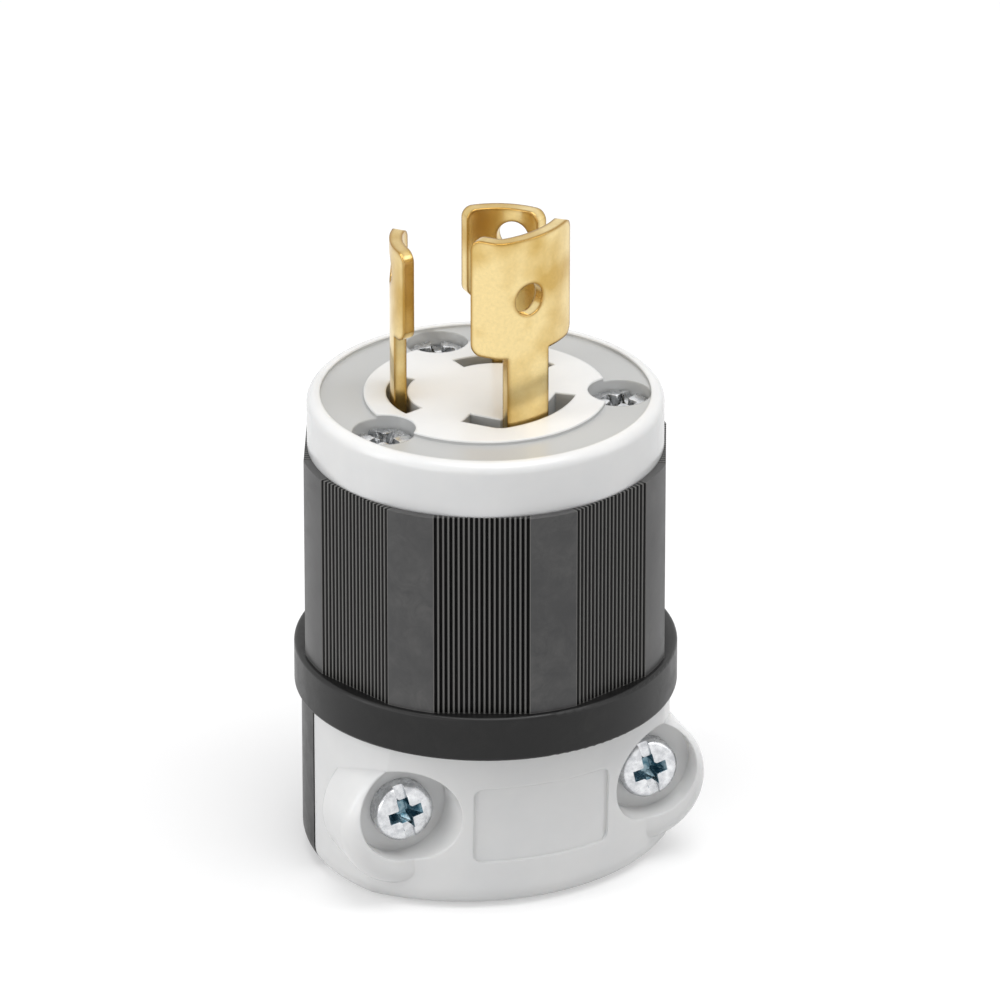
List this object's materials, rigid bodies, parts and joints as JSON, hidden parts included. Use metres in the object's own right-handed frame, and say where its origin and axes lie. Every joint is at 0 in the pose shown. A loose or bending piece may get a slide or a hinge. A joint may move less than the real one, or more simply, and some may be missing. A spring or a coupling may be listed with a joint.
{
  "type": "locking power plug",
  "caption": "Round locking power plug with curved turn-to-lock blades, a white nose, a ribbed black grip and a screwed cord clamp, standing on its cord end.",
  "frame": {"origin": "middle of the cord hole in the flat cord end", "axes": "+Z along the plug towards the blades, cord clamp facing -Y"},
  "size_m": [0.0386, 0.038, 0.0684],
  "materials": {
    "black_nylon": "satin",
    "white_nylon": "satin",
    "neoprene": "matte",
    "brass": "satin",
    "zinc_steel": "bright",
    "green_screw": "bright"
  },
  "bodies": {
    "root": {"housing": "black_nylon", "cord_clamp": "white_nylon", "nose": "white_nylon", "terminal_retainer": "black_nylon", "dust_seal": "neoprene", "blade_ground": "brass", "blade_line": "brass", "blade_neutral": "brass", "terminal_screw_ground": "green_screw", "terminal_screw_line": "brass", "terminal_screw_neutral": "zinc_steel", "pressure_plate_ground": "brass", "pressure_plate_line": "brass", "pressure_plate_neutral": "brass", "assembly_screw_1": "zinc_steel", "assembly_screw_2": "zinc_steel", "assembly_screw_3": "zinc_steel", "clamp_screw_left": "zinc_steel", "clamp_screw_right": "zinc_steel", "clamp_nut_left": "zinc_steel", "clamp_nut_right": "zinc_steel"}
  },
  "joints": []
}
